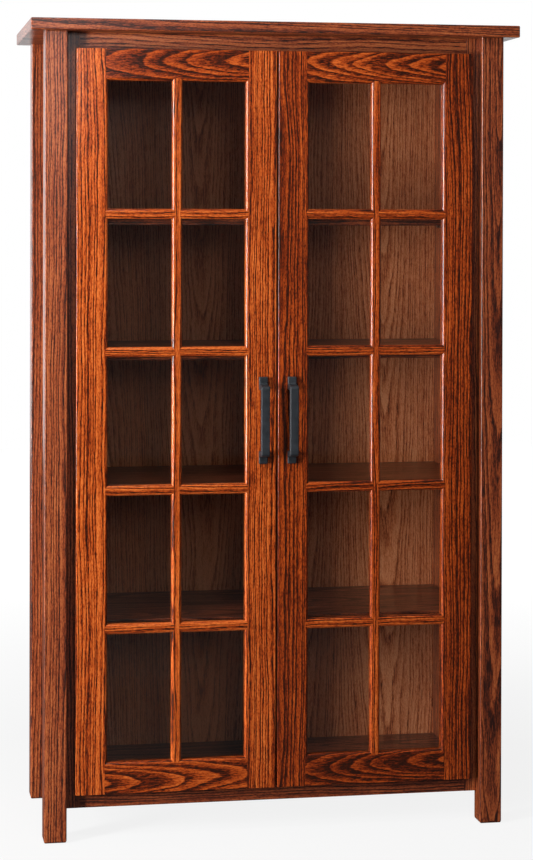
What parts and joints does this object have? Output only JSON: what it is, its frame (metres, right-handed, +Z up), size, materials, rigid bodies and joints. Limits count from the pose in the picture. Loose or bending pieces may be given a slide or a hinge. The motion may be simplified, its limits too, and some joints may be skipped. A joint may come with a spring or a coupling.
{
  "type": "glazed bookcase",
  "caption": "Tall oak bookcase on corner posts, with a pair of divided-light glazed doors, black bar pulls and adjustable shelves inside.",
  "frame": {"origin": "on the floor, at the middle of the whole piece in plan, pulls included", "axes": "+Z up, +X to the right seen from the front, +Y to the back; the doors face -Y"},
  "size_m": [1.12, 0.403, 1.829],
  "materials": {
    "oak_case": "red-brown stain under satin lacquer",
    "oak_door": "orange red-brown stain under satin lacquer",
    "oak_back": "oak-faced plywood, stained and lacquered",
    "glass": "clear float glass",
    "black_metal": "matt black powder coat on cast zinc",
    "steel": "nickel-plated steel"
  },
  "bodies": {
    "case": {"back_panel": "oak_back", "case_floor": "oak_case", "frame_rail_bottom": "oak_case", "frame_rail_top": "oak_case", "frame_stile_left": "oak_case", "frame_stile_right": "oak_case", "hinge_plate_left_1": "steel", "hinge_plate_left_2": "steel", "hinge_plate_left_3": "steel", "hinge_plate_right_1": "steel", "hinge_plate_right_2": "steel", "hinge_plate_right_3": "steel", "post_front_left": "oak_case", "post_front_right": "oak_case", "post_rear_left": "oak_case", "post_rear_right": "oak_case", "shelf_1": "oak_case", "shelf_2": "oak_case", "shelf_3": "oak_case", "shelf_4": "oak_case", "shelf_pin_1_left_front": "steel", "shelf_pin_1_left_rear": "steel", "shelf_pin_1_right_front": "steel", "shelf_pin_1_right_rear": "steel", "shelf_pin_2_left_front": "steel", "shelf_pin_2_left_rear": "steel", "shelf_pin_2_right_front": "steel", "shelf_pin_2_right_rear": "steel", "shelf_pin_3_left_front": "steel", "shelf_pin_3_left_rear": "steel", "shelf_pin_3_right_front": "steel", "shelf_pin_3_right_rear": "steel", "shelf_pin_4_left_front": "steel", "shelf_pin_4_left_rear": "steel", "shelf_pin_4_right_front": "steel", "shelf_pin_4_right_rear": "steel", "side_panel_left": "oak_case", "side_panel_right": "oak_case", "top_panel": "oak_case"},
    "left_door": {"door_left_glass": "glass", "door_left_hinge_cup_1": "steel", "door_left_hinge_cup_2": "steel", "door_left_hinge_cup_3": "steel", "door_left_muntins": "oak_door", "door_left_pull": "black_metal", "door_left_rail_bottom": "oak_door", "door_left_rail_top": "oak_door", "door_left_stile_hinge": "oak_door", "door_left_stile_meeting": "oak_door"},
    "right_door": {"door_right_glass": "glass", "door_right_hinge_cup_1": "steel", "door_right_hinge_cup_2": "steel", "door_right_hinge_cup_3": "steel", "door_right_muntins": "oak_door", "door_right_pull": "black_metal", "door_right_rail_bottom": "oak_door", "door_right_rail_top": "oak_door", "door_right_stile_hinge": "oak_door", "door_right_stile_meeting": "oak_door"}
  },
  "joints": [
    {"name": "left_door_hinge", "type": "hinge", "parent": "case", "child": "left_door", "pos_m": [-0.456, -0.1585, 0.934], "axis": [0, 0, -1], "range_deg": [0, 105]},
    {"name": "right_door_hinge", "type": "hinge", "parent": "case", "child": "right_door", "pos_m": [0.456, -0.1585, 0.934], "axis": [0, 0, 1], "range_deg": [0, 105]}
  ]
}
